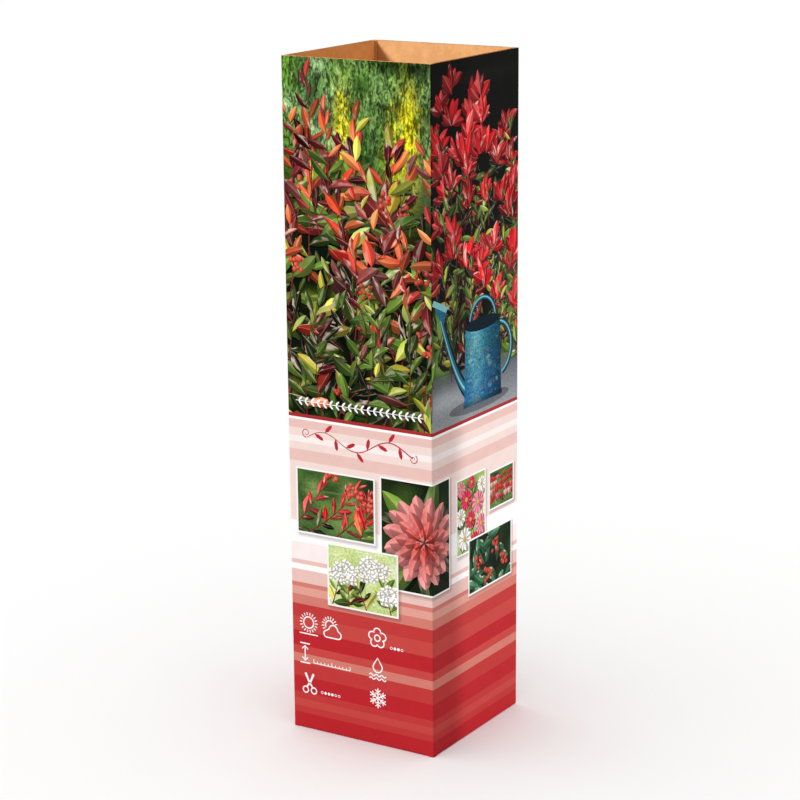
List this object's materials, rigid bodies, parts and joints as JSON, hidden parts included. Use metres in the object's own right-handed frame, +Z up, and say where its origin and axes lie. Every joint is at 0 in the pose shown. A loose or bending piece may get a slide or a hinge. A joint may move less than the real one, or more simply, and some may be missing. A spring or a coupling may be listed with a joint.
{
  "type": "cardboard plant box",
  "caption": "Tall, square, open-topped corrugated cardboard box that a potted plant stands in, printed with leaves and stripes.",
  "frame": {"origin": "on the floor, under the middle of the box", "axes": "+Z up to the open rim, -Y towards the front, which has the pictograms, +X towards the right side"},
  "size_m": [0.122, 0.122, 0.5],
  "materials": {
    "printed_board": "kraft board with a white liner, printed in reds, pinks and leaf greens under a satin varnish",
    "kraft_board": "bare brown kraft board, matt"
  },
  "bodies": {
    "root": {"front_wall": "printed_board", "right_wall": "printed_board", "back_wall": "printed_board", "left_wall": "printed_board", "front_left_fold": "printed_board", "front_right_fold": "printed_board", "back_left_fold": "printed_board", "joint_fold": "printed_board", "glue_flap": "kraft_board", "front_bottom_fold": "printed_board", "right_bottom_fold": "printed_board", "back_bottom_fold": "printed_board", "left_bottom_fold": "printed_board", "front_outer_flap": "kraft_board", "back_outer_flap": "kraft_board", "left_inner_flap": "kraft_board", "right_inner_flap": "kraft_board"}
  },
  "joints": []
}
